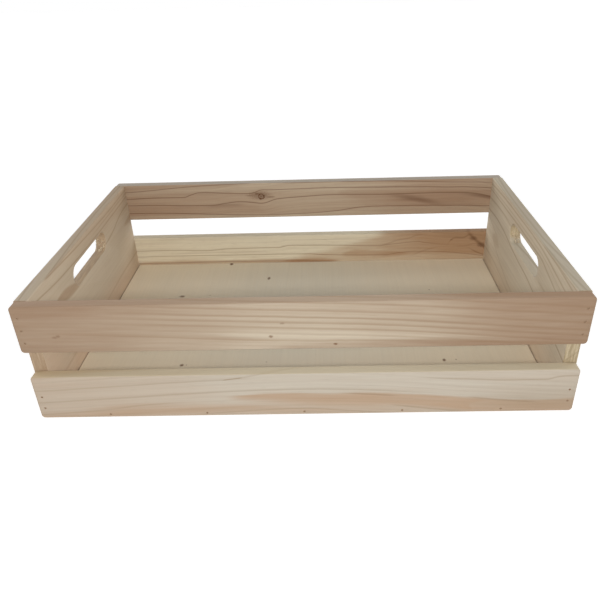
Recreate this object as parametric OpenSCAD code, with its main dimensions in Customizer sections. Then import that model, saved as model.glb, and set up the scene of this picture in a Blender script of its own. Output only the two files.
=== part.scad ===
// Shallow wooden apple crate, open at the top. Two end boards with hand holes stand on edge,
// two slats are nailed across them along each long side with a slot between, and a plywood
// floor is let in at the bottom and nailed through the boards around it.
// Millimetres, +Z up, +X along the slats, with the front at -Y. The origin is on the ground,
// under the middle of the crate.

/* [Crate] */
// Outer length, along the slats
crate_l = 600; // [400:5:900]
// Outer width, over the faces of the slats
crate_w = 390; // [280:5:600]
// Height of the end boards and of the crate
crate_h = 146; // [132:1:220]

/* [Boards] */
// Thickness of an end board
end_t = 15; // [12:0.5:25]
// Height of a slat
slat_h = 57; // [42:1:62]
// Thickness of a slat
slat_t = 14; // [10:0.5:20]
// Radius of the rounded corners of a slat
slat_corner_r = 4; // [3:0.5:10]
// Radius of the sanded edges of end boards and slats
edge_r = 1.75; // [0.5:0.25:2.5]

/* [Floor] */
// Thickness of the plywood floor
floor_t = 9; // [6:0.5:12]
// Gap between the floor and an end board
floor_gap = 1; // [0.5:0.1:3]

/* [Hand holes] */
// Length of a hand hole, over its round ends
hole_l = 125; // [80:1:160]
// Height of a hand hole
hole_h = 27; // [20:0.5:36]
// Wood left above a hand hole
hole_drop = 23.5; // [18:0.5:45]
// Radius of the rounded rim of a hand hole
hole_rim_r = 1.5; // [0.5:0.25:4]

/* [Nails] */
// Length of a finish nail, head included
nail_l = 32; // [28:1:45]
// Width of the flat wire
wire_w = 1.6; // [1:0.1:2]
// Thickness of the flat wire
wire_t = 1.4; // [1:0.1:2]
// Width of the head
head_w = 2.8; // [2.2:0.1:4]
// Thickness of the head
head_t = 1.2; // [0.6:0.1:2]
// Length of the chisel point
point_l = 3; // [1:0.5:5]
// Depth of a set head below the face of the wood
nail_set = 0.8; // [0.2:0.1:2]
// Clearance all round a nail in its hole
nail_fit = 0.05; // [0.02:0.01:0.1]

/* [Nail rows] */
// Nails in each end of an upper slat
upper_nails = 3; // [1:1:3]
// Nails in each end of a lower slat
lower_nails = 2; // [1:1:2]
// Distance between the nails in the end of a slat
slat_nail_pitch = 15.5; // [10:0.5:17]
// Height of the lowest nail in the end of a lower slat
lower_nail_z = 14.5; // [13:0.5:20]
// Nails through each lower slat into the floor
side_floor_nails = 5; // [2:1:7]
// Distance from the end of a slat to the first of them
side_floor_inset = 80; // [50:1:150]
// Nails through each end board into the floor
end_floor_nails = 3; // [2:1:4]
// Distance from the face of a slat to the first of them
end_floor_inset = 75; // [60:1:120]

/* [Hidden] */
$fn = 48;

pine = "#cbb490";
warm_pine = "#b79470";
plywood = "#b8a686";
nail_steel = "#6b6660";

// How far a cutting tool runs past the face that it cuts
past = 1;

front_y = -crate_w / 2;
left_x = -crate_l / 2;
board_l = crate_w - 2 * slat_t;
upper_slat_z = crate_h - slat_h;
hole_r = hole_h / 2;
hole_z = crate_h - hole_drop - hole_r;
hole_centres = hole_l / 2 - hole_r;
floor_l = crate_l - 2 * (end_t + floor_gap);
floor_nail_z = floor_t / 2;
slat_nail_x = left_x + end_t / 2;

// Places of n points with a pitch between them, about zero
function row(n, pitch) = [for (i = [0 : n - 1]) (i - (n - 1) / 2) * pitch];

lower_nail_heights = [for (i = [0 : lower_nails - 1]) lower_nail_z + i * slat_nail_pitch];
upper_nail_heights = [for (z = row(upper_nails, slat_nail_pitch)) upper_slat_z + slat_h / 2 + z];
side_floor_xs = row(side_floor_nails, (crate_l - 2 * side_floor_inset) / (side_floor_nails - 1));
end_floor_ys = row(end_floor_nails, (crate_w - 2 * end_floor_inset) / (end_floor_nails - 1));

// Rectangle about the origin with round corners, as true arcs
module rounded_rect(size, r) {
    square([size.x - 2 * r, size.y], center = true);
    square([size.x, size.y - 2 * r], center = true);
    for (x = [-1, 1], y = [-1, 1])
        translate([x * (size.x / 2 - r), y * (size.y / 2 - r)]) circle(r);
}

// Half of that rectangle, at x above zero
module half_rounded_rect(size, r) {
    intersection() {
        rounded_rect(size, r);
        translate([0, -size.y / 2]) square([size.x / 2, size.y]);
    }
}

// Board about the origin, long in X, high in Z and thin in Y, with round corners and a
// sanded edge that runs along its sides and on round the corners
module sanded_board(l, h, t, corner_r, r) {
    rotate([90, 0, 90]) linear_extrude(l - 2 * corner_r, center = true) rounded_rect([t, h], r);
    for (side = [0, 1]) mirror([side, 0, 0]) translate([l / 2 - corner_r, 0, 0]) {
        linear_extrude(h - 2 * corner_r, center = true) half_rounded_rect([2 * corner_r, t], r);
        for (up = [0, 1]) mirror([0, 0, up]) translate([0, 0, h / 2 - corner_r]) rotate([90, 0, 0])
            rotate_extrude(angle = 90) half_rounded_rect([2 * corner_r, t], r);
    }
}

// Section of a hand hole: its half height by the thickness of the board, flared at both
// faces so that the rim of the wood is round
module hole_section() {
    flare = hole_r + hole_rim_r;
    straight = end_t - 2 * hole_rim_r;
    difference() {
        translate([0, -end_t / 2 - past]) square([flare, end_t + 2 * past]);
        translate([hole_r, -straight / 2]) square([hole_rim_r + past, straight]);
        for (face = [-1, 1]) translate([flare, face * straight / 2]) circle(hole_rim_r);
    }
}

// Cutting tool of a hand hole, through X, with a round end at each side
module hand_hole() {
    for (side = [0, 1]) mirror([0, side, 0]) translate([0, hole_centres, 0])
        rotate([0, 90, 0]) rotate_extrude(angle = 180) hole_section();
    for (up = [0, 1]) mirror([0, 0, up]) rotate([90, -90, 0])
        linear_extrude(2 * hole_centres, center = true) hole_section();
}

// Flat outline of a nail driven along +Y from the face of the wood at y = 0
module nail_outline(top, fit) {
    head = head_w / 2 + fit;
    wire = wire_w / 2 + fit;
    under_head = nail_set + head_t + fit;
    tip = nail_set + nail_l + fit;
    polygon([
        [-head, top], [head, top], [head, under_head], [wire, under_head],
        [wire, tip - point_l], [0, tip], [-wire, tip - point_l],
        [-wire, under_head], [-head, under_head]
    ]);
}

// Nail, with its head set below the face of the wood
module nail() {
    linear_extrude(wire_t, center = true) nail_outline(nail_set, 0);
}

// Hole that the nail is driven into, open at the face of the wood
module nail_hole() {
    linear_extrude(wire_t + 2 * nail_fit, center = true) nail_outline(-past, nail_fit);
}

// What is driven through the front face at the left end of a slat
module at_slat_end(heights) {
    for (z = heights) translate([slat_nail_x, front_y, z]) children();
}

// What is driven through the front slat into the floor
module at_front_floor() {
    for (x = side_floor_xs) translate([x, front_y, floor_nail_z]) children();
}

// What is driven through the left end board into the floor
module at_left_floor() {
    for (y = end_floor_ys) translate([left_x, y, floor_nail_z]) rotate(-90) children();
}

module to_right() {
    mirror([1, 0, 0]) children();
}

module to_back() {
    mirror([0, 1, 0]) children();
}

module both_ends() {
    children();
    to_right() children();
}

module both_sides() {
    children();
    to_back() children();
}

// End board on edge between the slats, its sawn ends square
module end_board() {
    color(pine) difference() {
        translate([left_x + end_t / 2, 0, crate_h / 2]) rotate([90, 0, 0])
            linear_extrude(board_l, center = true) rounded_rect([end_t, crate_h], edge_r);
        translate([left_x + end_t / 2, 0, hole_z]) hand_hole();
        both_sides() {
            at_slat_end(lower_nail_heights) nail_hole();
            at_slat_end(upper_nail_heights) nail_hole();
        }
        at_left_floor() nail_hole();
    }
}

// Slat across the end boards, at the front
module front_slat(z) {
    translate([0, front_y + slat_t / 2, z + slat_h / 2])
        sanded_board(crate_l, slat_h, slat_t, slat_corner_r, edge_r);
}

module lower_slat() {
    color(pine) difference() {
        front_slat(0);
        both_ends() at_slat_end(lower_nail_heights) nail_hole();
        at_front_floor() nail_hole();
    }
}

module upper_slat() {
    color(warm_pine) difference() {
        front_slat(upper_slat_z);
        both_ends() at_slat_end(upper_nail_heights) nail_hole();
    }
}

module lower_nails_left() {
    color(nail_steel) at_slat_end(lower_nail_heights) nail();
}

module upper_nails_left() {
    color(nail_steel) at_slat_end(upper_nail_heights) nail();
}

module side_nails() {
    color(nail_steel) at_front_floor() nail();
}

module end_nails() {
    color(nail_steel) at_left_floor() nail();
}

module left_end_board() {
    end_board();
}

module right_end_board() {
    to_right() end_board();
}

module front_lower_slat() {
    lower_slat();
}

module front_upper_slat() {
    upper_slat();
}

module back_lower_slat() {
    to_back() lower_slat();
}

module back_upper_slat() {
    to_back() upper_slat();
}

// Plywood panel, tight between the slats and clear of the end boards
module floor_panel() {
    color(plywood) difference() {
        translate([-floor_l / 2, -board_l / 2, 0]) cube([floor_l, board_l, floor_t]);
        both_sides() at_front_floor() nail_hole();
        both_ends() at_left_floor() nail_hole();
    }
}

module front_lower_left_nails() {
    lower_nails_left();
}

module front_lower_right_nails() {
    to_right() lower_nails_left();
}

module front_upper_left_nails() {
    upper_nails_left();
}

module front_upper_right_nails() {
    to_right() upper_nails_left();
}

module back_lower_left_nails() {
    to_back() lower_nails_left();
}

module back_lower_right_nails() {
    to_back() to_right() lower_nails_left();
}

module back_upper_left_nails() {
    to_back() upper_nails_left();
}

module back_upper_right_nails() {
    to_back() to_right() upper_nails_left();
}

module front_floor_nails() {
    side_nails();
}

module back_floor_nails() {
    to_back() side_nails();
}

module left_floor_nails() {
    end_nails();
}

module right_floor_nails() {
    to_right() end_nails();
}

left_end_board();
right_end_board();
front_lower_slat();
front_upper_slat();
back_lower_slat();
back_upper_slat();
floor_panel();
front_lower_left_nails();
front_lower_right_nails();
front_upper_left_nails();
front_upper_right_nails();
back_lower_left_nails();
back_lower_right_nails();
back_upper_left_nails();
back_upper_right_nails();
front_floor_nails();
back_floor_nails();
left_floor_nails();
right_floor_nails();
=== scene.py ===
import math
import random

import bmesh
import bpy
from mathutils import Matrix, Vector


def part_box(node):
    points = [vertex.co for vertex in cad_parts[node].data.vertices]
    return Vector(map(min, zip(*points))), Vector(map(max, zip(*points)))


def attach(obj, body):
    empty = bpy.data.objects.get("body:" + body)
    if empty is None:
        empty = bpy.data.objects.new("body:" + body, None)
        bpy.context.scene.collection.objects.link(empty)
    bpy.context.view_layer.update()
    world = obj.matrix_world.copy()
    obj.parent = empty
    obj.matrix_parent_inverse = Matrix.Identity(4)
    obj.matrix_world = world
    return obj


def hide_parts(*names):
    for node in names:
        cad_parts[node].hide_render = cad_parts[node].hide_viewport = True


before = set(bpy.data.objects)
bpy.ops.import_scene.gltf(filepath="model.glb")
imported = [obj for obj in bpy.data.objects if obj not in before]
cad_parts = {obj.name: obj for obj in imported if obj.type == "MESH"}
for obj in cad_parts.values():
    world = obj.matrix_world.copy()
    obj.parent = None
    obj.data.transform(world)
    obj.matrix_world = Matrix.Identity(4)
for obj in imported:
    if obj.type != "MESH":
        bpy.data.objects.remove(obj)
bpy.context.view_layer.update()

# Left end board
# A planed pine board on edge, its grain running front to back, with sanded long edges and a routed hand
# hole. Its sawn ends carry the slats, and three nails through its foot hold the floor.
mm = 0.001
axis_x, axis_y, axis_z = 0, 1, 2
board_edge = 1.75 * mm
hole_length = 125 * mm
hole_height = 27 * mm
hole_drop = 23.5 * mm
hole_rim = 1.5 * mm
nail_head = Vector((2.8, 2.8, 1.4)) * mm
pit_depth = 0.85 * mm
pit_width = 2.4 * mm
pit_corner = 0.4 * pit_width
pit_flare = 1.1
smooth_angle = math.radians(30)


def alone(piece):
    """Select one piece and nothing else."""
    bpy.ops.object.select_all(action="DESELECT")
    piece.select_set(True)
    bpy.context.view_layer.objects.active = piece


def pick(piece, kind, wanted):
    """Open a piece in edit mode with those of its vertices, edges or faces selected that pass a test."""
    alone(piece)
    bpy.ops.object.mode_set(mode="EDIT")
    bpy.ops.mesh.select_mode(type=kind)
    bpy.ops.mesh.select_all(action="DESELECT")
    mesh = bmesh.from_edit_mesh(piece.data)
    for part in {"VERT": mesh.verts, "EDGE": mesh.edges, "FACE": mesh.faces}[kind]:
        if wanted(part):
            part.select_set(True)
    mesh.select_flush_mode()
    bmesh.update_edit_mesh(piece.data)


def round_edges(piece, radius, segments, wanted):
    """Sand those edges of a piece round that pass a test."""
    pick(piece, "EDGE", wanted)
    bpy.ops.mesh.bevel(offset=radius, segments=segments, profile=0.5, affect="EDGES")
    bpy.ops.object.mode_set(mode="OBJECT")


def runs_along(axis):
    """A test for the edges that run along one axis."""
    def test(edge):
        run = edge.verts[1].co - edge.verts[0].co
        return abs(run[axis]) > 0.99 * run.length
    return test


def is_sharp(edge):
    """A test for the edges that turn by more than a radian."""
    return edge.calc_face_angle(0) > 1


def block(name, low, high):
    """A rectangular block between two corners, its place in its mesh."""
    bpy.ops.object.select_all(action="DESELECT")
    bpy.ops.mesh.primitive_cube_add(size=1, location=(low + high) / 2, scale=high - low)
    bpy.ops.object.transform_apply(location=True, rotation=True, scale=True)
    piece = bpy.context.object
    piece.name = name
    piece.data.name = name
    return piece


def join(first, others):
    """Make several pieces one."""
    alone(first)
    for other in others:
        other.select_set(True)
    bpy.ops.object.join()
    return first


def cut(piece, tool):
    """Cut a tool out of a piece. The cut faces keep the tool's material."""
    boolean = piece.modifiers.new("cut", "BOOLEAN")
    boolean.operation = "DIFFERENCE"
    boolean.solver = "EXACT"
    boolean.material_mode = "TRANSFER"
    boolean.object = tool
    alone(piece)
    bpy.ops.object.modifier_apply(modifier=boolean.name)
    bpy.data.objects.remove(tool)


def put(tree, kind, values=(), **settings):
    """Add a shader node. Values fill its inputs, by order or by name, and a socket among them is linked."""
    made = tree.nodes.new("ShaderNode" + kind)
    for setting, value in settings.items():
        setattr(made, setting, value)
    pairs = values.items() if isinstance(values, dict) else enumerate(values)
    for place, value in pairs:
        if isinstance(value, bpy.types.NodeSocket):
            tree.links.new(value, made.inputs[place])
        else:
            made.inputs[place].default_value = value
    return made


def calc(tree, operation, *values):
    """One step of arithmetic."""
    return put(tree, "Math", values, operation=operation).outputs[0]


def ease(tree, value, start, end):
    """Go softly from 0 at the start to 1 at the end."""
    return put(tree, "MapRange", (value, start, end, 0.0, 1.0), interpolation_type="SMOOTHSTEP").outputs[0]


def rest(tree, share):
    """What is left of 1."""
    return calc(tree, "SUBTRACT", 1.0, share)


def noise(tree, vector, factors, detail=2.0, roughness=0.5):
    """Soft noise from 0 to 1, with its own fineness along each axis."""
    scaled = put(tree, "VectorMath", (vector, factors), operation="MULTIPLY").outputs[0]
    values = {"Vector": scaled, "Scale": 1.0, "Detail": detail, "Roughness": roughness}
    return put(tree, "TexNoise", values).outputs[0]


def mix(tree, share, first, second, mode="MIX"):
    """Mix a second colour into the first."""
    share_socket, first_socket, second_socket, colour_output = 0, 6, 7, 2
    values = {share_socket: share, first_socket: first, second_socket: second}
    return put(tree, "Mix", values, data_type="RGBA", blend_type=mode).outputs[colour_output]


def tone(red, green, blue):
    """A colour by its values on a screen, from 0 to 255."""
    def linear(value):
        share = value / 255
        return share / 12.92 if share < 0.04045 else ((share + 0.055) / 1.055) ** 2.4
    return (linear(red), linear(green), linear(blue), 1.0)


def effect(name, inputs, outputs):
    """Start a shader node group and give its tree, what comes in and what goes out."""
    tree = bpy.data.node_groups.new(name, "ShaderNodeTree")
    for direction, sockets in (("INPUT", inputs), ("OUTPUT", outputs)):
        for label in sockets:
            kind = "NodeSocketVector" if label == "Vector" else "NodeSocketFloat"
            tree.interface.new_socket(label, in_out=direction, socket_type=kind)
    return tree, tree.nodes.new("NodeGroupInput").outputs, tree.nodes.new("NodeGroupOutput").inputs


# The grain of a plank wanders a little up and down. In every effect of the wood, X lies along the grain,
# Y goes into the board and Z down from its top edge, in mm.
grain_wander, given, result = effect("grain_wander", ["Vector", "Amount"], ["Vector"])
slow = calc(grain_wander, "SUBTRACT", noise(grain_wander, given["Vector"], (0.006, 0.02, 0.03)), 0.5)
ripple = calc(grain_wander, "SUBTRACT", noise(grain_wander, given["Vector"], (0.035, 0.05, 0.1)), 0.5)
drift = calc(grain_wander, "MULTIPLY_ADD", ripple, 0.3, slow)
drift = calc(grain_wander, "MULTIPLY", drift, given["Amount"])
drift = put(grain_wander, "CombineXYZ", (0.0, 0.0, drift)).outputs[0]
moved = put(grain_wander, "VectorMath", (given["Vector"], drift), operation="ADD").outputs[0]
grain_wander.links.new(moved, result["Vector"])

# A knot pushes the grain aside. It is dark at its rim and its eye, and stains the wood along the grain.
knot, given, result = effect(
    "knot", ["Vector", "Along", "Down", "Radius", "Length", "Dark", "Before"], ["Vector", "Mask"]
)
parts = put(knot, "SeparateXYZ", (given["Vector"],)).outputs
below = calc(knot, "SUBTRACT", parts[2], given["Down"])
aside_share = calc(knot, "DIVIDE", calc(knot, "SUBTRACT", parts[0], given["Along"]), given["Length"])
below_share = calc(knot, "DIVIDE", below, given["Radius"])
squared = calc(knot, "MULTIPLY", below_share, below_share)
squared = calc(knot, "MULTIPLY_ADD", aside_share, aside_share, squared)
squeeze = calc(knot, "DIVIDE", squared, calc(knot, "ADD", squared, 1.5))
pushed = calc(knot, "MULTIPLY_ADD", below, squeeze, given["Down"])
knot.links.new(put(knot, "CombineXYZ", (parts[0], parts[1], pushed)).outputs[0], result["Vector"])
uneven = calc(knot, "MULTIPLY_ADD", noise(knot, given["Vector"], (0.35, 0.35, 0.35), 3.0), 0.9, -0.45)
away = calc(knot, "ADD", calc(knot, "SQRT", squared), uneven)
rim = rest(knot, ease(knot, calc(knot, "ABSOLUTE", calc(knot, "SUBTRACT", away, 0.8)), 0.05, 0.4))
eye = rest(knot, ease(knot, away, 0.05, 0.4))
core = calc(knot, "MULTIPLY", rest(knot, ease(knot, away, 0.8, 1.1)), 0.6)
wing = calc(knot, "MULTIPLY", calc(knot, "POWER", aside_share, 2.0), 0.12)
wing = calc(knot, "SQRT", calc(knot, "MULTIPLY_ADD", below_share, below_share, wing))
stain = calc(knot, "MULTIPLY", rest(knot, ease(knot, calc(knot, "ADD", wing, uneven), 0.2, 1.1)), 0.5)
strongest = calc(knot, "MAXIMUM", calc(knot, "MAXIMUM", rim, eye), calc(knot, "MAXIMUM", core, stain))
strongest = calc(knot, "MULTIPLY", strongest, given["Dark"])
knot.links.new(calc(knot, "MAXIMUM", strongest, given["Before"]), result["Mask"])

# A speck is a pin knot, a mark or a stain, drawn out along the grain.
speck, given, result = effect(
    "speck", ["Vector", "Along", "Down", "Radius", "Length", "Dark", "Before"], ["Mask"]
)
parts = put(speck, "SeparateXYZ", (given["Vector"],)).outputs
aside = calc(speck, "DIVIDE", calc(speck, "SUBTRACT", parts[0], given["Along"]), given["Length"])
below = calc(speck, "DIVIDE", calc(speck, "SUBTRACT", parts[2], given["Down"]), given["Radius"])
away = calc(speck, "SQRT", calc(speck, "MULTIPLY_ADD", aside, aside, calc(speck, "MULTIPLY", below, below)))
away = calc(speck, "MULTIPLY_ADD", noise(speck, given["Vector"], (0.5, 0.5, 0.5)), 0.8, away)
spot = calc(speck, "MULTIPLY", rest(speck, ease(speck, away, 0.7, 1.6)), given["Dark"])
speck.links.new(calc(speck, "MAXIMUM", spot, given["Before"]), result["Mask"])

# A growth line is the late wood of one year. It darkens slowly on one side and ends soon on the other.
growth_line, given, result = effect(
    "growth_line",
    ["Depth", "Along", "Line", "Dark", "Soft", "Sharp", "From", "To", "Fade", "Before"],
    ["Mask"],
)
away = calc(growth_line, "SUBTRACT", given["Depth"], given["Line"])
rise = ease(growth_line, away, calc(growth_line, "MULTIPLY", given["Soft"], -1.0), 0.0)
fall = rest(growth_line, ease(growth_line, away, 0.0, given["Sharp"]))
begun = calc(growth_line, "ADD", given["From"], given["Fade"])
begin = ease(growth_line, given["Along"], given["From"], begun)
ending = calc(growth_line, "SUBTRACT", given["To"], given["Fade"])
end = ease(growth_line, given["Along"], given["To"], ending)
mask = calc(growth_line, "MULTIPLY", rise, fall)
for factor in (begin, end, given["Dark"]):
    mask = calc(growth_line, "MULTIPLY", mask, factor)
seen = calc(growth_line, "MULTIPLY_ADD", mask, rest(growth_line, given["Before"]), given["Before"])
growth_line.links.new(seen, result["Mask"])

# A band of darker or paler wood lies between an upper and a lower edge, each sharp or soft. It closes where
# they meet.
wood_band, given, result = effect(
    "wood_band", ["Depth", "Top", "Bottom", "Soft top", "Soft bottom", "Amount", "Before"], ["Share"]
)
over = calc(wood_band, "SUBTRACT", given["Depth"], given["Top"])
under = calc(wood_band, "SUBTRACT", given["Bottom"], given["Depth"])
over = ease(wood_band, over, calc(wood_band, "MULTIPLY", given["Soft top"], -1.0), given["Soft top"])
under = ease(wood_band, under, calc(wood_band, "MULTIPLY", given["Soft bottom"], -1.0), given["Soft bottom"])
full_width = 6.0
opened = ease(wood_band, calc(wood_band, "SUBTRACT", given["Bottom"], given["Top"]), 0.0, full_width)
mask = calc(wood_band, "MULTIPLY", calc(wood_band, "MULTIPLY", over, under), opened)
wood_band.links.new(calc(wood_band, "MULTIPLY_ADD", mask, given["Amount"], given["Before"]), result["Share"])

# Fine fibres, the short dark dashes of resin canals, and the faint years between the strong growth lines.
wood_fibre, given, result = effect("wood_fibre", ["Vector", "Depth"], ["Streak", "Dash", "Year", "Height"])
streak = noise(wood_fibre, given["Vector"], (0.011, 0.8, 0.8), 5.0, 0.6)
dash = ease(wood_fibre, noise(wood_fibre, given["Vector"], (0.06, 1.5, 1.5), 1.0), 0.62, 0.78)
along = put(wood_fibre, "SeparateXYZ", (given["Vector"],)).outputs[0]
flow = put(wood_fibre, "CombineXYZ", (along, given["Depth"], 0.0)).outputs[0]
year = ease(wood_fibre, noise(wood_fibre, flow, (0.0025, 0.3, 1.0), 2.0, 0.6), 0.35, 0.7)
wood_fibre.links.new(streak, result["Streak"])
wood_fibre.links.new(dash, result["Dash"])
wood_fibre.links.new(year, result["Year"])
wood_fibre.links.new(calc(wood_fibre, "MULTIPLY_ADD", dash, -0.5, streak), result["Height"])

# Sawn end grain shows torn streaks down the board and fine pores.
end_grain, given, result = effect("end_grain", ["Vector"], ["Streak", "Pore"])
end_grain.links.new(noise(end_grain, given["Vector"], (0.02, 0.55, 0.05), 3.0, 0.6), result["Streak"])
end_grain.links.new(noise(end_grain, given["Vector"], (0.3, 1.8, 0.9), 2.0), result["Pore"])


def along_curve(tree, position, reach, limits, points):
    """A value that changes along the board, by given points of place and value."""
    low, high = limits
    curve = put(tree, "FloatCurve", {"Value": position})
    spots = curve.mapping.curves[0].points
    scaled = [((place + reach) / (2 * reach), (value - low) / (high - low)) for place, value in points]
    spots[0].location = scaled[0]
    spots[1].location = scaled[-1]
    for place, value in scaled[1:-1]:
        spots.new(place, value)
    for spot in spots:
        spot.handle_type = "AUTO_CLAMPED"
    curve.mapping.update()
    return calc(tree, "MULTIPLY_ADD", curve.outputs[0], high - low, low)


def line(points, dark=0.5, soft=2.4, sharp=1.2, start=-1000.0, stop=1000.0, fade=60.0):
    """A growth line by its points, how dark it is, how wide its sides are, and where it starts and stops."""
    return points, dark, soft, sharp, start, stop, fade


def band(top, bottom, amount, soft_top=2.0, soft_bottom=2.0):
    """A band of heartwood, or of sapwood below zero, by its two edges, its amount and how soft they are."""
    return top, bottom, amount, soft_top, soft_bottom


def pine(
    name, grain, end_axis, reach, limits, lean, tones, share, lines, bands=(), knots=(), specks=(),
    flow=None, wander=3.0, streaks=0.2, dashes=0.2, years=0.15, fray=4.0, shine=0.2, edge=0.0,
):
    """Planed wood with a figure of its own, in mm along the grain and down from the board's top edge.

    Reach is half the board's length, and limits hold the depths of its lines and bands. Lean is how far a
    line drops on its way into the board. Share is how much heartwood there is along the board, and flow is
    the line that the faint years follow, or else the first line. A knot or a speck is its place along and
    down, half its height, half its length and how dark it is. Edge is how much of the edge tone the upper
    and lower edges have; that tone is partly painted shade and sheen on the top edges.
    """
    material = bpy.data.materials.new(name)
    material.use_nodes = True
    tree = material.node_tree
    shader = tree.nodes["Principled BSDF"]
    place = put(tree, "TexCoord").outputs["Object"]
    board = put(tree, "Mapping", {"Vector": place} | grain).outputs[0]
    mark_mask = 0.0
    for values in specks:
        mark_mask = put(tree, "Group", (board, *values, mark_mask), node_tree=speck).outputs["Mask"]
    for values in knots:
        board, mark_mask = put(tree, "Group", (board, *values, mark_mask), node_tree=knot).outputs
    board = put(tree, "Group", (board, wander), node_tree=grain_wander).outputs["Vector"]
    along, inward, down = put(tree, "SeparateXYZ", (board,)).outputs
    position = put(tree, "MapRange", (along, -reach, reach, 0.0, 1.0)).outputs[0]
    depth = calc(tree, "MULTIPLY_ADD", inward, lean, down)

    line_mask = 0.0
    for points, *values in lines:
        level = along_curve(tree, position, reach, limits, points)
        values = (depth, along, level, *values, line_mask)
        line_mask = put(tree, "Group", values, node_tree=growth_line).outputs["Mask"]

    strands = noise(tree, board, (0.012, 0.25, 0.25), 3.0)
    frayed = calc(tree, "MULTIPLY_ADD", calc(tree, "SUBTRACT", strands, 0.5), fray, depth)
    heart_share = along_curve(tree, position, reach, (0, 1), share)
    for top, bottom, amount, soft_top, soft_bottom in bands:
        top = along_curve(tree, position, reach, limits, top)
        bottom = along_curve(tree, position, reach, limits, bottom)
        values = (frayed, top, bottom, soft_top, soft_bottom, amount, heart_share)
        heart_share = put(tree, "Group", values, node_tree=wood_band).outputs["Share"]
    cloud = noise(tree, board, (0.008, 0.03, 0.05), 3.0)
    uneven = calc(tree, "MULTIPLY_ADD", strands, 0.5, -0.5)
    uneven = calc(tree, "ADD", uneven, calc(tree, "MULTIPLY", cloud, 0.5))
    heart_share = calc(tree, "MULTIPLY_ADD", uneven, 0.7, heart_share)

    first_points = lines[0][0]
    year_line = along_curve(tree, position, reach, limits, flow or first_points)
    year_depth = calc(tree, "SUBTRACT", depth, year_line)
    fibre = put(tree, "Group", (board, year_depth), node_tree=wood_fibre).outputs
    wood = mix(tree, heart_share, tones["sap"], tones["heart"])
    wood = mix(tree, calc(tree, "MULTIPLY", fibre["Year"], years), wood, tones["dark"])
    wood = mix(tree, line_mask, wood, tones["dark"])
    wood = mix(tree, calc(tree, "MULTIPLY", fibre["Dash"], dashes), wood, tones["dark"])
    if knots or specks:
        wood = mix(tree, mark_mask, wood, tones["mark"])

    torn = put(tree, "Group", (board,), node_tree=end_grain).outputs
    sawn = mix(tree, ease(tree, torn["Streak"], 0.35, 0.7), tones["end"], tones["torn"])
    sawn = mix(tree, calc(tree, "MULTIPLY", ease(tree, torn["Pore"], 0.5, 0.8), 0.4), sawn, tones["dark"])
    sawn = mix(tree, calc(tree, "MULTIPLY", line_mask, 0.6), sawn, tones["dark"])
    facing = put(tree, "NewGeometry").outputs["Normal"]
    # Partly painted shade and sheen: the edge tone darkens and greys the faces that face up or down.
    if edge:
        upright = put(tree, "SeparateXYZ", (facing,)).outputs[2]
        top_shade_sheen_share = calc(tree, "MULTIPLY", ease(tree, calc(tree, "ABSOLUTE", upright), 0.5, 0.9), edge)
        wood = mix(tree, top_shade_sheen_share, wood, tones["edge"])
    across = put(tree, "VectorMath", (facing, end_axis), operation="DOT_PRODUCT").outputs["Value"]
    end_share = ease(tree, calc(tree, "ABSOLUTE", across), 0.6, 0.9)
    wood = mix(tree, end_share, wood, sawn)

    light = calc(tree, "MULTIPLY_ADD", fibre["Streak"], streaks, 1.0 - streaks / 2)
    light = put(tree, "CombineXYZ", (light, light, light)).outputs[0]
    wood = mix(tree, 1.0, wood, light, "MULTIPLY")
    tree.links.new(wood, shader.inputs["Base Color"])
    shader.inputs["Specular IOR Level"].default_value = shine
    gloss = calc(tree, "MULTIPLY_ADD", fibre["Streak"], 0.2, 0.55)
    tree.links.new(calc(tree, "MULTIPLY_ADD", end_share, 0.2, gloss), shader.inputs["Roughness"])
    height = calc(tree, "MULTIPLY_ADD", line_mask, 0.4, fibre["Height"])
    height = calc(tree, "MULTIPLY_ADD", calc(tree, "MULTIPLY", end_share, torn["Streak"]), 3.0, height)
    bump = put(tree, "Bump", {"Strength": 0.3, "Distance": 0.2 * mm, "Height": height}).outputs[0]
    tree.links.new(bump, shader.inputs["Normal"])
    return material


def plain_wood(name, pale, dark, fineness):
    """Broken wood without a figure, in two tones of fibre."""
    material = bpy.data.materials.new(name)
    material.use_nodes = True
    tree = material.node_tree
    shader = tree.nodes["Principled BSDF"]
    fibres = noise(tree, put(tree, "TexCoord").outputs["Object"], fineness, 3.0)
    tree.links.new(mix(tree, ease(tree, fibres, 0.3, 0.7), pale, dark), shader.inputs["Base Color"])
    tree.links.new(calc(tree, "MULTIPLY_ADD", fibres, 0.3, 0.6), shader.inputs["Roughness"])
    bump = put(tree, "Bump", {"Strength": 0.4, "Distance": 0.3 * mm, "Height": fibres}).outputs[0]
    tree.links.new(bump, shader.inputs["Normal"])
    return material


crushed = plain_wood("crushed_wood", tone(172, 146, 118), tone(146, 118, 92), (900, 900, 900))
torn_wood = plain_wood("torn_wood", tone(232, 219, 190), tone(192, 168, 134), (700, 120, 700))
# Darker wood for the left hand hole's walls: partly their own tone, partly painted shade in the hole.
hole_wall_shade_wood = plain_wood("hole_wall_shade_wood", tone(182, 158, 127), tone(165, 142, 117), (600, 60, 600))


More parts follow.
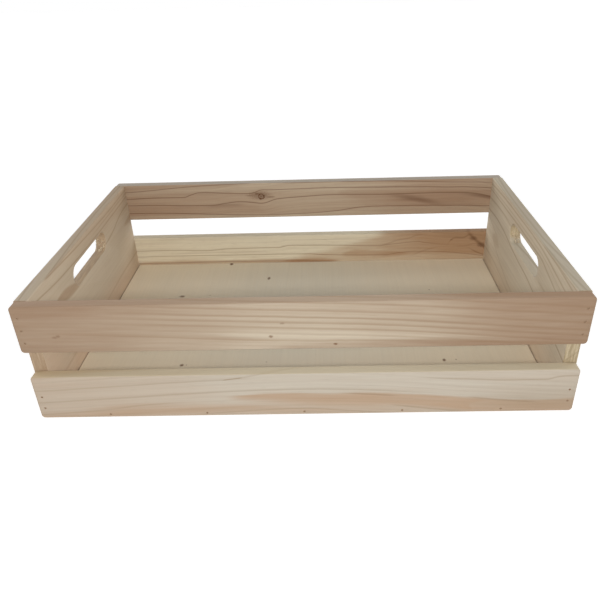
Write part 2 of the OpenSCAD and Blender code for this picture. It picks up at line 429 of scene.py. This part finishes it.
def nail_pits(board, rows, face_axis, face):
    """Open the wood over the set head of each nail. A row is a node, its count and the axis of its run."""
    outward = 1 if face > 0 else -1
    punches = []
    for node, count, axis in rows:
        low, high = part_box(node)
        first = low[axis] + nail_head[axis] / 2
        pitch = (high[axis] - low[axis] - nail_head[axis]) / (count - 1)
        for number in range(count):
            middle = (low + high) / 2
            middle[axis] = first + number * pitch
            middle[face_axis] = face
            half = Vector((pit_width, pit_width, pit_width)) / 2
            half[face_axis] = pit_depth
            punch = block("punch", middle - half, middle + half)
            round_edges(punch, pit_corner, segments=2, wanted=runs_along(face_axis))
            pick(punch, "FACE", lambda side: side.normal[face_axis] * outward > 0.9)
            bpy.ops.transform.resize(value=(pit_flare, pit_flare, pit_flare))
            bpy.ops.object.mode_set(mode="OBJECT")
            punch.data.materials.append(crushed)
            punches.append(punch)
    cut(board, join(punches[0], punches[1:]))


def hand_hole(board, low, high, wall):
    """Rout the hand hole through an end board and round its rim on both faces. Wall is the wood in it."""
    middle = Vector(((low.x + high.x) / 2, 0, high.z - hole_drop - hole_height / 2))
    half = Vector((high.x - low.x, hole_length / 2, hole_height / 2))
    router = block("router", middle - half, middle + half)
    round_end = 0.999 * half.z
    round_edges(router, round_end, segments=12, wanted=runs_along(axis_x))
    router.data.materials.append(wall)
    cut(board, router)
    slack = 0.1 * mm

    def on_rim(edge):
        inside = all(
            abs(vert.co.y) < half.y + slack and abs(vert.co.z - middle.z) < half.z + slack
            for vert in edge.verts
        )
        return inside and not runs_along(axis_x)(edge) and is_sharp(edge)
    round_edges(board, hole_rim, segments=3, wanted=on_rim)
    return middle


def torn_fibres(board, low, high, middle, seed, count):
    """Short fibres that the router tore loose and left standing low on the round end at the hole's back."""
    draw = random.Random(seed)
    radius = hole_height / 2
    back = hole_length / 2 - radius
    margin = 2 * mm
    sunk = 0.5 * mm
    lift = 0.2 * mm
    fibres = []
    for number in range(count):
        angle = math.radians(draw.uniform(-85, -5))
        length = draw.uniform(2.5, 6.5) * mm
        width = draw.uniform(0.5, 1.4) * mm
        root = Vector((
            draw.uniform(low.x + margin, high.x - margin),
            back + radius * math.cos(angle) + sunk - length / 2,
            middle.z + radius * math.sin(angle) + lift,
        ))
        tilt = (math.radians(90 + draw.uniform(-25, 25)), 0, math.radians(draw.uniform(-30, 30)))
        bpy.ops.object.select_all(action="DESELECT")
        bpy.ops.mesh.primitive_cone_add(
            vertices=5, radius1=width, radius2=0.15 * width, depth=length, location=root, rotation=tilt
        )
        fibre = bpy.context.object
        fibre.scale = (1, 0.5, 1)
        bpy.ops.object.transform_apply(location=True, rotation=True, scale=True)
        fibre.data.materials.append(torn_wood)
        fibres.append(fibre)
    join(board, fibres)


def end_board(node, material, wall, floor_nails, seed, fibres):
    """An end board with its hand hole, torn fibres and the pits of its floor nails."""
    low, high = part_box(node)
    board = block(node + "_wood", low, high)
    board.data.materials.append(material)
    round_edges(board, board_edge, segments=4, wanted=runs_along(axis_y))
    middle = hand_hole(board, low, high, wall)
    outer_face = max(low.x, high.x, key=abs)
    nail_pits(board, [(floor_nails, 3, axis_y)], axis_x, outer_face)
    bpy.ops.object.shade_smooth_by_angle(angle=smooth_angle)
    torn_fibres(board, low, high, middle, seed, fibres)
    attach(board, "root")
    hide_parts(node)


def board_grain(node, quarter_turn, inner):
    """Where the figure of an end board lies, from the middle of the top edge of its inner face."""
    return {
        "Location": (0, inner / mm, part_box(node)[1].z / mm),
        "Rotation": (0, 0, quarter_turn * math.pi / 2),
        "Scale": (1 / mm, 1 / mm, -1 / mm),
    }


board_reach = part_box("left_end_board")[1].y / mm
board_depths = (-40, 190)
left_pine = pine(
    "left_end_pine",
    grain=board_grain("left_end_board", -1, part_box("left_end_board")[1].x),
    end_axis=(0, 1, 0), reach=board_reach, limits=board_depths, lean=1.0,
    tones={
        "sap": tone(196, 182, 160), "heart": tone(169, 146, 121), "dark": tone(142, 115, 86),
        "mark": tone(214, 180, 152), "end": tone(176, 151, 124), "torn": tone(194, 172, 145),
        "edge": tone(188, 170, 146),
    },
    share=[(-181, 0.2), (0, 0.2), (181, 0.3)],
    lines=[
        line([(-181, -3), (-126, 1), (-56, 4.5), (19, 7), (94, 8), (181, 7)], 0.5),
        line([(-181, 10), (-156, 12), (-94, 17), (32, 20), (119, 18.5), (181, 17)], 0.5),
        line([(30, 50), (59, 45), (94, 41), (139, 31), (181, 28.5)], 0.5, soft=3, start=20),
        line([(-181, 119), (-70, 116), (32, 115.5), (110, 112), (181, 113)], 0.34, 4, 1.6),
        line([(-140, 1.5), (0, 0.5), (181, 0.5)], 0.4, 1.6, 1.0, start=-140),
        line([(20, 13.5), (94, 12.5), (181, 12)], 0.35, 1.8, 1.2, start=0),
    ],
    bands=[
        band([(-181, 84), (-150, 92), (-110, 122)], [(-181, 160), (-150, 160), (-110, 121)], -0.35, 8, 4),
        band([(-128, 36), (-100, 33), (-75, 38), (-52, 46)], [(-128, 37), (-90, 49), (-52, 51)], 0.7),
        band(
            [(-181, -20), (181, -20)],
            [(-181, -15), (-100, -5), (-40, 14), (20, 28), (181, 34)], 0.5, 8, 25,
        ),
        band([(140, 51), (181, 45)], [(140, 52), (181, 58)], 0.5, 3, 3),
    ],
    # Pinkish stains along its foot and at its front.
    specks=[(-60, 142, 48, 330, 0.45), (-190, 100, 48, 90, 0.4)],
    years=0.08, edge=0.2,
)
end_board("left_end_board", left_pine, hole_wall_shade_wood, "left_floor_nails", seed=4, fibres=30)

# Right end board
# The same board at the other end, cut from a paler pine plank with more growth lines. It is nailed in the
# same way, and the router tore its hole too.
right_pine = pine(
    "right_end_pine",
    grain=board_grain("right_end_board", 1, -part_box("right_end_board")[0].x),
    end_axis=(0, 1, 0), reach=board_reach, limits=board_depths, lean=1.0,
    tones={
        "sap": tone(198, 186, 165), "heart": tone(168, 148, 124), "dark": tone(140, 118, 91),
        "mark": tone(216, 187, 158), "end": tone(170, 152, 122), "torn": tone(204, 188, 157),
        "edge": tone(190, 181, 160),
    },
    # Less heartwood toward the rear end: partly painted light that lifts the shaded rear corner.
    share=[(-181, 0.0), (-100, 0.1), (181, 0.15)],
    lines=[
        line([(-181, 9.5), (-118, 6), (-6, 5), (69, 7), (131, 15), (181, 22)], 0.45, 3, 1.8),
        line([(-181, 18), (-60, 17), (64, 18), (94, 24), (126, 31), (181, 42)], 0.45, 3, 1.8),
        line([(-181, 31), (-106, 28), (-66, 30), (-50, 32)], 0.4, 3, 1.8, stop=-40),
        line(
            [(-181, 50), (-131, 48), (-93, 50), (-56, 55), (-18, 60), (19, 62.5), (51, 67), (181, 90)],
            0.55, 3, 1.8,
        ),
        line([(-181, 58), (-143, 67), (-110, 72)], 0.3, 3, 1.8, stop=-90),
        line([(-150, 81), (-106, 95), (-73, 104), (-43, 110), (60, 132)], 0.3, 3, 1.8, start=-160),
        line([(-181, 114), (-131, 113), (-56, 119), (80, 135)], 0.3, 3, 1.8),
        line([(60, 46), (110, 50), (181, 62)], 0.4, 3, 1.8, start=40),
        line([(60, 0), (119, 3), (181, 9)], 0.4, 3, 1.8, start=40),
        line([(-181, 3), (-60, 1), (181, 2)], 0.35, 1.8, 1.2),
        line([(-181, 14), (-60, 11.5), (64, 12.5), (131, 22), (181, 31)], 0.28, 2, 1.4),
    ],
    bands=[
        band([(-145, 79), (-125, 70), (-105, 80)], [(-145, 82), (-125, 88), (-105, 84)], 0.35, 4, 4),
        band([(-181, -20), (70, -20)], [(-181, -2), (-120, 4), (-60, 20), (0, 6), (70, -20)], 0.35, 8, 25),
    ],
    # A faint pinkish stain along its foot.
    specks=[(60, 142, 48, 330, 0.32)],
    years=0.14, edge=0.3,
)
end_board("right_end_board", right_pine, right_pine, "right_floor_nails", seed=9, fibres=22)

# Floor panel
# A thin plywood panel let in between the boards and nailed through them. Its outer veneer is peeled, with
# the grain front to back and a few pin knots.
plywood_edge = 0.4 * mm
low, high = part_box("floor_panel")
floor_panel = block("floor_panel_plywood", low, high)
round_edges(floor_panel, plywood_edge, segments=2, wanted=lambda edge: True)
floor_depths = (-300, 300)
all_over = 2000
veneer = pine(
    "floor_plywood",
    grain={"Rotation": (-math.pi / 2, -math.pi / 2, 0), "Scale": (1 / mm, 1 / mm, 1 / mm)},
    end_axis=(1, 0, 0), reach=board_reach, limits=floor_depths, lean=0.0,
    tones={
        "sap": tone(226, 212, 186), "heart": tone(212, 203, 183), "dark": tone(174, 150, 118),
        "mark": tone(104, 74, 50), "end": tone(190, 160, 120), "torn": tone(206, 184, 150),
    },
    share=[(-181, 0.1), (181, 0.1)],
    # Painted shade: one broad line darkens the front of the panel from side to side, where the front slats
    # shade it.
    lines=[line([(-181, 0), (181, 0)], 0.28, all_over, all_over, stop=-60, fade=70)],
    flow=[(-181, -20), (181, -22)],
    bands=[band([(-181, -120), (181, -110)], [(-181, 90), (181, 100)], 0.7, 80, 90)],
    specks=[
        (178, -130, 3.6, 5.0, 1.0), (124, -64, 2.6, 5.5, 0.9), (70, -191, 5.0, 3.6, 0.8),
        (72, -149, 1.4, 1.4, 0.5), (-108, -156, 2.8, 3.0, 0.95), (-108, -150, 1.2, 1.2, 0.6),
        (-106, 172, 2.6, 3.4, 0.95), (-105, 187, 1.4, 1.8, 0.6), (77, 181, 1.4, 1.6, 0.6),
        (-104, -50, 1.2, 1.4, 0.35),
    ],
    wander=8.0, streaks=0.06, dashes=0.08, years=0.05, shine=0.5,
)
floor_panel.data.materials.append(veneer)
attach(floor_panel, "root")
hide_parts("floor_panel")

# Front lower slat
# A pine slat with rounded corners and a sanded edge all round, nailed across the front ends of the end
# boards. Five more nails go through it into the edge of the floor.
slat_corner = 4 * mm


def slat(node, material, rows):
    """A slat with the pits of its nails."""
    low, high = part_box(node)
    board = block(node + "_wood", low, high)
    board.data.materials.append(material)
    round_edges(board, slat_corner, segments=6, wanted=runs_along(axis_y))

    def round_a_face(edge):
        return not runs_along(axis_y)(edge) and is_sharp(edge)
    round_edges(board, board_edge, segments=4, wanted=round_a_face)
    outer_face = max(low.y, high.y, key=abs)
    nail_pits(board, rows, axis_y, outer_face)
    bpy.ops.object.shade_smooth_by_angle(angle=smooth_angle)
    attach(board, "root")
    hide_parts(node)


def slat_grain(node):
    """Where the figure of a slat lies, from the middle of the top edge of the face nearest the front."""
    low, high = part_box(node)
    return {"Location": (0, -low.y / mm, high.z / mm), "Scale": (1 / mm, 1 / mm, -1 / mm)}


slat_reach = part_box("front_lower_slat")[1].x / mm
slat_depths = (-40, 100)
front_lower_pine = pine(
    "front_lower_pine",
    grain=slat_grain("front_lower_slat"),
    end_axis=(1, 0, 0), reach=slat_reach, limits=slat_depths, lean=-0.43,
    tones={
        "sap": tone(206, 196, 180), "heart": tone(190, 160, 132), "dark": tone(153, 130, 102),
        "end": tone(168, 140, 110), "torn": tone(190, 168, 138), "edge": tone(214, 198, 160),
    },
    share=[(-300, 0.42), (-150, 0.25), (-50, 0.05), (150, 0.06), (220, 0.1), (300, 0.14)],
    lines=[
        line(
            [(-300, 35.5), (-200, 29.5), (-100, 24), (0, 21.5), (50, 23), (100, 26), (170, 33), (300, 44)],
            0.3, stop=150,
        ),
        line([(-300, 19.5), (-220, 14.5), (-100, 7.5), (0, 5)], 0.3, stop=-40),
        line([(-300, 52.5), (-220, 46), (-190, 42), (-160, 39), (-110, 36)], 0.22, stop=-110),
        line([(-130, 56), (-100, 53.5), (0, 48), (40, 51), (80, 55), (120, 58)], 0.3, start=-150, stop=130),
        line([(130, 8), (160, 10), (240, 13.5), (262, 13.5), (280, 10), (300, 9)], 0.4, start=110),
        line([(-92, 7.6), (-69, 4.7), (-45, 0), (0, -6)], 0.25, start=-80, stop=10, fade=12),
        line([(-92, 7.6), (-69, 4.7), (-60, 3)], 0.7, 1.2, 0.8, start=-90, stop=-65, fade=5),
        line([(40, 27.5), (100, 32)], 0.45, start=40, stop=110, fade=20),
        line([(100, 45.5), (170, 54.5)], 0.4, start=90, stop=190, fade=25),
        line([(180, 35.5), (225, 40.5), (255, 43.5)], 0.4, start=175, stop=265, fade=20),
        line([(150, 46), (300, 46)], 0.3, 40, 14, start=150, fade=110),
    ],
    bands=[
        band(
            [(-92, 31), (-60, 28), (-30, 26), (50, 27.5), (100, 28.5), (170, 35), (250, 40), (300, 38)],
            [(-92, 31.5), (-50, 36), (0, 40), (60, 44), (100, 46), (140, 50), (200, 58), (300, 70)],
            0.78, 2.2, 6,
        ),
        band([(-300, -30), (-120, -30)], [(-300, 0), (-120, -8)], 0.6, 4, 3),
        band([(-80, 18), (0, 12), (120, 14)], [(-80, 17), (0, 21), (120, 20)], -0.2, 4, 3),
        band([(180, 46), (220, 38), (300, 38)], [(180, 44), (220, 70), (300, 70)], -0.15, 3, 3),
        band(
            [(-260, 47), (-210, 41), (-180, 39), (-140, 38), (-80, 42)],
            [(-260, 49), (-200, 52), (-80, 53)], 0.24, 2.5, 5,
        ),
        band([(-110, 43), (-30, 39), (40, 42), (120, 52)], [(-110, 66), (120, 66)], 0.33, 5, 4),
    ],
    streaks=0.15, fray=6.0, edge=0.5,
)
slat(
    "front_lower_slat", front_lower_pine,
    [
        ("front_lower_left_nails", 2, axis_z), ("front_lower_right_nails", 2, axis_z),
        ("front_floor_nails", 5, axis_x),
    ],
)

# Front upper slat
# The same pine slat, nailed on flush with the top of the end boards. Its growth lines lie side by side and
# fall to the right across a pale middle, partly its sapwood and partly a painted highlight.
falling_line = [(-300, -14), (-200, -9.7), (-100, -4.6), (0, 0), (100, 5), (200, 13), (300, 21.5)]
years_of_growth = [(-8.5, 0.32), (0, 0.38), (9.5, 0.38), (17.8, 0.4), (24.5, 0.4), (31, 0.4), (38, 0.2)]
front_upper_pine = pine(
    "front_upper_pine",
    grain=slat_grain("front_upper_slat"),
    end_axis=(1, 0, 0), reach=slat_reach, limits=slat_depths, lean=-0.6,
    tones={
        "sap": tone(210, 196, 174), "heart": tone(165, 138, 114), "dark": tone(150, 120, 90),
        "mark": tone(126, 92, 64), "end": tone(158, 128, 98), "torn": tone(180, 156, 126),
        "edge": tone(181, 150, 123),
    },
    # Little heartwood in the middle: partly the wood's own sapwood, partly a painted highlight.
    share=[(-300, 0.92), (-220, 0.8), (-100, 0.48), (0, 0.24), (100, 0.38), (200, 0.82), (300, 1.0)],
    lines=[
        line([(place, middle + drop) for place, drop in falling_line], dark, 2.8, 1.8, start=-260, fade=150)
        for middle, dark in years_of_growth
    ] + [
        line([(60, -12), (180, -6), (300, -4)], 0.95, 12, 5, start=60, fade=140),
        line(
            [(-300, 32), (-200, 36.5), (-100, 42), (0, 46), (100, 48), (200, 51), (300, 55.5)],
            0.38, 3.0, 1.6, start=-290, fade=120,
        ),
    ],
    bands=[
        band([(-20, 52), (60, 49), (300, 54)], [(-20, 56), (60, 66), (300, 70)], 0.26, 2, 3),
        band(
            [(-300, -20), (40, -20), (90, 0), (150, 14)],
            [(-300, 12), (0, 13), (90, 15), (150, 12)], 0.11, 5, 4,
        ),
        band([(-90, 34), (0, 34), (90, 38)], [(-90, 38), (0, 46), (90, 46)], -0.25, 3, 3),
    ],
    specks=[
        (-259.5, 37.4, 1.8, 3.4, 0.45), (-255.5, 36, 1.9, 2.8, 0.5), (-31.6, 40.4, 2.0, 2.6, 0.7),
        (36, 51, 1.5, 2.6, 0.9), (-18.8, 24.6, 1.4, 3.0, 0.4),
    ],
    streaks=0.16, edge=0.4,
)
slat(
    "front_upper_slat", front_upper_pine,
    [("front_upper_left_nails", 3, axis_z), ("front_upper_right_nails", 3, axis_z)],
)

# Back lower slat
# The same slat on the far side, nailed to the end boards and the floor. Its pine is pale at the left, with
# swirling heartwood and a torn knot at the right.
back_lower_pine = pine(
    "back_lower_pine",
    grain=slat_grain("back_lower_slat"),
    end_axis=(1, 0, 0), reach=slat_reach, limits=slat_depths, lean=0.3,
    tones={
        "sap": tone(213, 203, 178), "heart": tone(162, 130, 99), "dark": tone(120, 88, 61),
        "mark": tone(96, 66, 46), "end": tone(170, 144, 114), "torn": tone(196, 174, 142),
    },
    share=[
        (-300, 0.08), (-20, 0.1), (40, 0.1), (90, 0.15), (130, 0.35), (170, 0.5), (220, 0.6), (300, 0.65),
    ],
    lines=[
        line(
            [
                (-300, 23), (-229, 22.4), (-166, 23.7), (-130, 21.4), (-53, 21.4), (-32, 18), (53, 19.7),
                (101, 21.5), (136, 19), (165, 16), (175, 15.5), (188, 17.5), (207, 20), (228, 22),
            ],
            0.5, 1.8, 0.9, stop=245,
        ),
        line(
            [
                (-300, 34), (-200, 33), (0, 33.5), (20, 35.5), (124, 38), (148, 34.5), (180, 33),
                (250, 37.5), (300, 46),
            ],
            0.5, 1.8, 0.8,
        ),
        line([(-300, 29), (-120, 28), (0, 27)], 0.2, start=-260, stop=-40),
        line([(-300, 46), (-100, 45), (60, 47)], 0.5, 2.5, 1.5, stop=60),
        line([(-20, 9), (100, 6), (160, 3)], 0.2, 1.2, 0.8, start=-40, stop=140),
        line(
            [(100, 30), (118, 21), (133, 16), (145, 12), (160, 9.5), (172, 5), (190, 2)],
            0.3, 3, 2, start=105, stop=195, fade=25,
        ),
        line([(160, 43), (172, 38), (193, 29.5), (215, 24)], 0.25, 3, 2, start=160, stop=215, fade=20),
        line(
            [(222, 26), (230, 14), (237, 10.5), (246, 11), (258, 6), (270, 4)],
            0.5, 3, 2.5, start=222, stop=268, fade=10,
        ),
        line([(232, 24), (250, 25), (270, 21), (285, 26)], 0.25, 3, 2, start=230, stop=300, fade=15),
        line([(250, -4), (258, 4), (266, 12), (279, 23), (300, 40)], 0.75, 6, 5, start=250, fade=12),
        line([(200, 4), (240, 6), (300, 10)], 0.25, 13, 10, start=190, fade=40),
        line([(258, 28), (278, 38), (300, 46)], 0.55, 2.5, 2.0, start=256, fade=15),
    ],
    bands=[
        band(
            [(-40, 46), (0, 33), (35, 25), (60, 19), (87, 12), (115, 2), (140, -8), (300, -30)],
            [(-40, 62), (300, 70)], 0.4, 6, 3,
        ),
        band(
            [(50, 36), (80, 28), (110, 30), (150, 34)],
            [(50, 38), (80, 40), (110, 40), (150, 38)], 0.25, 3, 3,
        ),
        band([(110, 46), (160, 39), (200, 37), (260, 38), (300, 42)], [(110, 66), (300, 70)], -0.3, 4, 3),
        band([(-300, 42), (0, 42), (90, 56)], [(-300, 70), (0, 68), (90, 54)], 0.5, 3, 2),
    ],
    specks=[(265, 11.5, 4.5, 7.0, 0.5), (279, 23, 5.0, 8.0, 0.55), (230, 13, 1.5, 2.5, 0.35)],
    dashes=0.35, fray=8.0,
)
slat(
    "back_lower_slat", back_lower_pine,
    [
        ("back_lower_left_nails", 2, axis_z), ("back_lower_right_nails", 2, axis_z),
        ("back_floor_nails", 5, axis_x),
    ],
)

# Back upper slat
# The last slat, nailed on flush with the top at the far side. Its pine is brown, with strong growth lines
# and one sound knot.
back_upper_pine = pine(
    "back_upper_pine",
    grain=slat_grain("back_upper_slat"),
    end_axis=(1, 0, 0), reach=slat_reach, limits=slat_depths, lean=0.3,
    tones={
        "sap": tone(180, 162, 139), "heart": tone(153, 125, 101), "dark": tone(100, 68, 48),
        "mark": tone(98, 66, 44), "end": tone(160, 130, 100), "torn": tone(184, 158, 128),
        # The pale grey edge tone is partly painted sheen on the top edge.
        "edge": tone(182, 173, 160),
    },
    share=[(-300, 0.74), (-70, 0.4), (0, 0.25), (90, 0.4), (200, 0.75), (300, 0.6)],
    lines=[
        line(
            [
                (-300, 33), (-247, 33), (-176, 35), (-152, 35), (-130, 32), (-109, 30), (-74, 31),
                (-46, 26.5), (-7, 23.7), (39, 22), (123, 23), (194, 22), (247, 23), (300, 34),
            ],
            0.65, 1.8, 0.8,
        ),
        line(
            [(-300, 12), (-240, 8.5), (-183, 4), (-123, 1.7), (88, 1), (159, 2.7), (229, 6), (300, 8.5)],
            0.6, 1.6, 0.8,
        ),
        line(
            [
                (-300, 23), (-229, 21), (-198, 21), (-183, 17), (-168, 13.6), (-141, 14.6), (-88, 17),
                (-70, 13.6), (-18, 11.2), (53, 10.2), (123, 11.2), (194, 12.9), (265, 15.3), (300, 18.7),
            ],
            0.65, 1.8, 0.8,
        ),
        line(
            [
                (-300, 46), (-229, 46.5), (-176, 49), (-102, 51.5), (-35, 51.5), (18, 50), (53, 47),
                (81, 43.4), (123, 42.4), (229, 43.4), (300, 46),
            ],
            0.6, 1.8, 0.8,
        ),
        line([(120, 23), (176, 33), (225, 44)], 0.55, 8, 7, start=115, stop=225, fade=50),
        line([(225, 22), (260, 26), (300, 34)], 0.6, 2, 6, start=225, fade=50),
        line([(-160, 36), (-130, 34), (-100, 33)], 0.3, 2, 8, start=-170, stop=-90, fade=30),
    ],
    bands=[
        band([(-300, 36), (-100, 34)], [(-300, 70), (-100, 66)], 0.15, 3, 2),
        band(
            [(-80, 36), (-60, 30), (60, 30), (100, 45)],
            [(-80, 38), (-60, 46), (60, 44), (100, 44)], -0.12, 4, 3,
        ),
        band([(-300, 50), (0, 50), (60, 47), (110, 43.5), (300, 44)], [(-300, 70), (300, 70)], -0.4, 2.5, 2),
        band([(-120, -10), (0, -10), (70, 0)], [(-120, 3), (-60, 9), (0, 8), (70, -1)], -0.3, 3, 3),
        band([(-280, 9), (-180, 5), (-90, 5)], [(-280, 17), (-180, 13), (-90, 14)], -0.35, 3, 3),
        band(
            [(40, 20), (70, 10), (120, 8), (300, 9)],
            [(40, 18), (70, 27), (120, 34), (200, 36), (300, 30)], 0.22, 4, 4,
        ),
    ],
    knots=[(-73, 22, 4.9, 5.4, 1.0)],
    specks=[
        (-80, 17.5, 2.4, 5.0, 0.8), (-87, 20, 2.0, 12.0, 0.45), (-60, 23, 2.0, 10.0, 0.5),
        (-76, 20, 8.0, 20.0, 0.5),
    ],
    edge=0.8,
)
slat(
    "back_upper_slat", back_upper_pine,
    [("back_upper_left_nails", 3, axis_z), ("back_upper_right_nails", 3, axis_z)],
)

# Nails
# Short finish nails of flat steel wire, driven through one board into the next and set just under its face.
# Their dull heads look brownish.
steel = bpy.data.materials.new("nail_steel_dull")
steel.use_nodes = True
tree = steel.node_tree
shader = tree.nodes["Principled BSDF"]
shader.inputs["Metallic"].default_value = 0.2
stain = noise(tree, put(tree, "TexCoord").outputs["Object"], (900, 900, 900), 3.0)
tree.links.new(mix(tree, stain, tone(182, 156, 130), tone(146, 120, 94)), shader.inputs["Base Color"])
tree.links.new(calc(tree, "MULTIPLY_ADD", stain, 0.3, 0.4), shader.inputs["Roughness"])
for node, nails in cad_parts.items():
    if node.endswith("_nails"):
        for slot in nails.material_slots:
            slot.link = "OBJECT"
            slot.material = steel

# Studio
# A pale plain floor inside a white surround that is bright all round and dim overhead. A lamp just under the
# lens lights near and far alike, and two soft lamps behind light the far sides.
scene = bpy.context.scene
scene.view_settings.view_transform = "Standard"
white = (1, 1, 1, 1)
pale_paper = (0.7, 0.7, 0.7, 1)
paper_glow = 0.6
surround = 0.8
ceiling = 0.28
ceiling_starts = 0.35
ceiling_full = 0.65


def white_to_the_eye(tree):
    """1 for what the camera sees straight, in a reflection or through glass."""
    rays = put(tree, "LightPath").outputs
    mirrored = calc(tree, "MAXIMUM", rays["Is Glossy Ray"], rays["Is Transmission Ray"])
    return calc(tree, "MAXIMUM", rays["Is Camera Ray"], mirrored)


bpy.ops.object.select_all(action="DESELECT")
bpy.ops.mesh.primitive_plane_add(size=12)
studio_floor = bpy.context.object
studio_floor.name = "studio_floor"
paper = bpy.data.materials.new("studio_paper")
paper.use_nodes = True
tree = paper.node_tree
shader = tree.nodes["Principled BSDF"]
shader.inputs["Base Color"].default_value = pale_paper
shader.inputs["Roughness"].default_value = 0.9
shader.inputs["Emission Color"].default_value = white
glow = calc(tree, "MULTIPLY", white_to_the_eye(tree), paper_glow)
tree.links.new(glow, shader.inputs["Emission Strength"])
studio_floor.data.materials.append(paper)

world = bpy.data.worlds.new("white_surround")
scene.world = world
world.use_nodes = True
tree = world.node_tree
background = tree.nodes["Background"]
background.inputs["Color"].default_value = white
height = put(tree, "SeparateXYZ", (put(tree, "TexCoord").outputs["Generated"],)).outputs[2]
overhead = ease(tree, height, ceiling_starts, ceiling_full)
glow = calc(tree, "MULTIPLY_ADD", overhead, ceiling - surround, surround)
tree.links.new(calc(tree, "MAXIMUM", white_to_the_eye(tree), glow), background.inputs["Strength"])

lens_lamp = bpy.data.lights.new("lens_lamp", "POINT")
lens_lamp.energy = 18
lens_lamp.shadow_soft_size = 30 * mm
lens_lamp.use_nodes = True
tree = lens_lamp.node_tree
even = put(tree, "LightFalloff", {"Strength": 1.0}).outputs["Constant"]
tree.links.new(even, tree.nodes["Emission"].inputs["Strength"])
lens_light = bpy.data.objects.new("lens_lamp", lens_lamp)
lens_light.location = (0.03, -0.733, 0.439)
lens_light.visible_camera = False
scene.collection.objects.link(lens_light)

for name, side in (("back_left_softbox", -1), ("back_right_softbox", 1)):
    softbox = bpy.data.lights.new(name, "SUN")
    softbox.energy = 0.9
    softbox.angle = math.radians(40)
    softbox_light = bpy.data.objects.new(name, softbox)
    softbox_light.rotation_euler = (math.radians(78), 0, side * math.radians(130))
    scene.collection.objects.link(softbox_light)

# Camera
# Stands in front of the crate and above it, as the photograph was taken. The lens centre lies a little to
# the right of the picture's middle.
picture = 600
lens_centre = (316, 305)
focal_pixels = 611.4
camera_data = bpy.data.cameras.new("camera")
camera_data.sensor_width = 36
camera_data.lens = camera_data.sensor_width * focal_pixels / picture
camera_data.shift_x = (picture / 2 - lens_centre[0]) / picture
camera_data.shift_y = (lens_centre[1] - picture / 2) / picture
camera = bpy.data.objects.new("camera", camera_data)
camera.location = (0.0297, -0.7327, 0.4523)
camera.rotation_euler = (math.radians(60.06), math.radians(1.49), math.radians(0.53))
scene.collection.objects.link(camera)
scene.camera = camera
